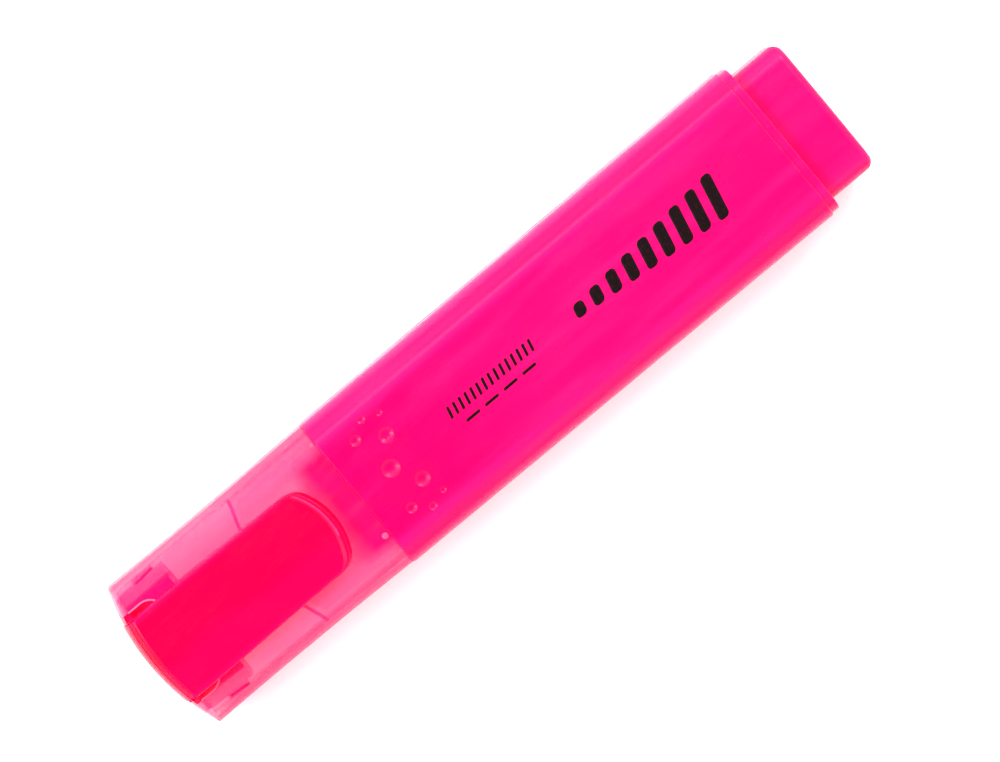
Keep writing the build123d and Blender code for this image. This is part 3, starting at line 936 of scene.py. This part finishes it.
def shoulderRim(look):
    # the front of the neck's outline laid on the ball of its end:
    # x = start + R - sqrt(R^2 - y^2 - (z - middle)^2)
    low = neckLow[2] + look["inset"]
    high = neckHigh[2] - look["inset"] - look["frontInset"]
    loop = sectionLoop(neckHigh[1] - look["inset"], low, high, look["corner"])
    away = loop[:, 0] ** 2 + (loop[:, 1] - (low + high) / 2) ** 2
    x = look["startX"] + look["ball"] - np.sqrt(look["ball"] ** 2 - away)
    inFront = loop[:, 1] > (low + high) / 2
    path = np.stack([x, loop[:, 0], loop[:, 1]], axis=1)[inFront]
    ahead = np.tile([1.0, 0.0, 0.0], (len(path), 1))
    points, faces = tube(path, ahead, outward(path, 1, 2), look["wide"], look["high"])
    plastic = shoulderPlastic(shoulderFinish)
    return makePiece("shoulderRim", points, faces, plastic, "pen")


shoulderRim(shoulderLook)

slotLook = {
    "startX": -54.3,
    "endX": -51.1,
    "y": 10.35,
    "z": 11.1,
    "lean": 0.10,
    "wide": 0.20,
    "high": 0.34,
    "steps": 24,
}


def plugSlots(look):
    # a slim groove along each side of the insert's plug: y = side (Y + lean (x - end))
    x = np.linspace(look["startX"], look["endX"], look["steps"])
    upward = np.tile([0.0, 0.0, 1.0], (len(x), 1))
    for name, side in (("Upper", 1), ("Lower", -1)):
        y = side * (look["y"] + look["lean"] * (x - look["endX"]))
        path = np.stack([x, y, np.full(len(x), look["z"])], axis=1)
        points, faces = tube(path, outward(path, 0, 1), upward, look["wide"], look["high"])
        makePiece("plugSlot" + name, points, faces, clipRed, "cap")


plugSlots(slotLook)

beadLook = {
    "rings": 11,
    "around": 24,
    "Lower": {"x": -23.92, "y": -6.6, "long": 0.46, "wide": 0.46, "high": 0.15},
    "Upper": {"x": -23.72, "y": 9.3, "long": 0.24, "wide": 0.30, "high": 0.10},
}


def mouthBeads(look):
    # half-round beads at the mouth, paler than the cap as a painted highlight: (a cos p cos q, b cos p sin
    # q, c sin p) about their centres
    rings, around = look["rings"], look["around"]
    p = np.linspace(-math.pi / 2, math.pi / 2, rings + 2)[1:-1, None]
    q = np.linspace(0, 2 * math.pi, around, endpoint=False)[None]
    for name in ("Lower", "Upper"):
        bead = look[name]
        x = bead["x"] + bead["long"] * np.cos(p) * np.cos(q)
        y = bead["y"] + bead["wide"] * np.cos(p) * np.sin(q)
        z = capFront(x, y) + bead["high"] * np.sin(p)
        points = np.stack([x, y, z], axis=-1).reshape(-1, 3)
        faces = gridFaces(rings, around, wrapColumns=True).tolist()
        faces.append(range(around))
        faces.append(range((rings - 1) * around, rings * around))
        makePiece("mouthBead" + name, points, faces, beadHighlightMilk, "cap")


mouthBeads(beadLook)
print("rims, slots and beads are on the cap and the neck's shoulder")

# The printed marks are a row of slanted bars that grow in height, a tick scale and dashes.
printLook = {
    "lift": 0.022,
    "sink": 0.05,
    "upSteps": 21,
    "acrossSteps": 7,
    "cornerShare": 0.36,
    "slant": 0.22,
    "strokes": {
        "start": 16.2,
        "end": 40.0,
        "count": 9,
        "low": 2.0,
        "high": 6.4,
        "wide": 1.75,
        "middle": 0.1,
    },
    "ticks": {
        "start": -6.4,
        "end": 7.9,
        "count": 15,
        "low": 1.75,
        "high": 1.75,
        "wide": 0.42,
        "middle": 0.65,
    },
    "dashes": {
        "start": -4.2,
        "end": 5.7,
        "count": 4,
        "low": 0.42,
        "high": 0.42,
        "wide": 2.35,
        "middle": -1.7,
    },
}
barrelFace = {"mouthX": -23, "mouthZ": 14.178, "climb": 0.00529, "crown": 290}


def barrelFront(x, y):
    # height of the barrel's front face: a straight climb to the tail less a crown of y^2 / c
    middle = barrelFace["mouthZ"] + barrelFace["climb"] * (x - barrelFace["mouthX"])
    return middle - y**2 / barrelFace["crown"]


def barPoints(rows, look):
    # bars of width w and height h with corners of radius c:
    # x = u(w/2 - c(1 - sqrt(1 - s^2))) + slant y, s the share of the way into the corner
    x0 = np.linspace(rows["start"], rows["end"], rows["count"])[:, None, None]
    tall = np.linspace(rows["low"], rows["high"], rows["count"])[:, None, None]
    corner = look["cornerShare"] * min(rows["wide"], rows["low"])
    v = np.sin(np.linspace(-math.pi / 2, math.pi / 2, look["upSteps"]))[None, :, None]
    u = np.linspace(-1, 1, look["acrossSteps"])[None, None, :]
    y = v * tall / 2
    into = np.clip((np.abs(y) - (tall / 2 - corner)) / corner, 0, 0.999)
    x = x0 + u * (rows["wide"] / 2 - corner * (1 - np.sqrt(1 - into**2))) + look["slant"] * y
    y = np.broadcast_to(y + rows["middle"], x.shape)
    top = np.stack([x, y, barrelFront(x, y) + look["lift"]], axis=-1)
    below = np.stack([x, y, barrelFront(x, y) - look["sink"]], axis=-1)
    return top.reshape(rows["count"], -1, 3), below.reshape(rows["count"], -1, 3)


def barFaces(count, look):
    # the top and under faces of one bar and the wall round its edge, repeated for every bar
    rows, columns = look["upSteps"], look["acrossSteps"]
    layer = rows * columns
    top = gridFaces(rows, columns)
    under = top[:, ::-1] + layer
    place = np.arange(layer).reshape(rows, columns)
    edge = np.concatenate([place[0, :-1], place[:-1, -1], place[-1, :0:-1], place[:0:-1, 0]])
    nextEdge = np.roll(edge, -1)
    wall = np.stack([edge, edge + layer, nextEdge + layer, nextEdge], axis=1)
    one = np.vstack([top, under, wall])
    return (one[None] + 2 * layer * np.arange(count)[:, None, None]).reshape(-1, 4)


inkLook = {
    "black": (0.006, 0.001, 0.002),
    "thin": (0.07, 0.002, 0.012),
    "thinSize": (0.5, 0.5, 0.5),
    "thinShare": 0.4,
    "pinSpacing": 0.9,
    "pinRadius": 0.05,
    "roughness": 0.42,
    "mattSize": (0.3, 0.3, 0.3),
    "matter": 0.2,
    "weaveSize": (0.12, 0.12, 0.12),
    "weave": 0.004,
    "gloss": 0.12,
}


def printInk(look):
    # screen ink: near black, thinner in tiny pinholes and along the edges of its weave
    material, tree, shader = newMaterial("printInk")
    thin = ramp(tree, cloud(tree, look["thinSize"], 4.0), 0.52, 0.74)
    pin = specks(tree, look["pinSpacing"], look["pinRadius"])
    share = reckon(tree, "MAXIMUM", reckon(tree, "MULTIPLY", thin, look["thinShare"]), pin)
    tree.links.new(blendColour(tree, share, look["black"], look["thin"]), shader.inputs["Base Color"])
    matt = cloud(tree, look["mattSize"], 3.0)
    matt = ramp(tree, matt, 0.3, 0.7, look["roughness"], look["roughness"] + look["matter"])
    tree.links.new(matt, shader.inputs["Roughness"])
    setHeight(tree, shader, reckon(tree, "MULTIPLY", cloud(tree, look["weaveSize"], 2.0), look["weave"]))
    shader.inputs["Specular IOR Level"].default_value = look["gloss"]
    return material


def printedMarks(look):
    ink = printInk(inkLook)
    for name in ("strokes", "ticks", "dashes"):
        rows = look[name]
        top, below = barPoints(rows, look)
        points = np.concatenate([top, below], axis=1).reshape(-1, 3)
        faces = barFaces(rows["count"], look)
        makePiece("print" + name.capitalize(), points, faces, ink, "pen")


printedMarks(printLook)
print("marks are printed on the front")
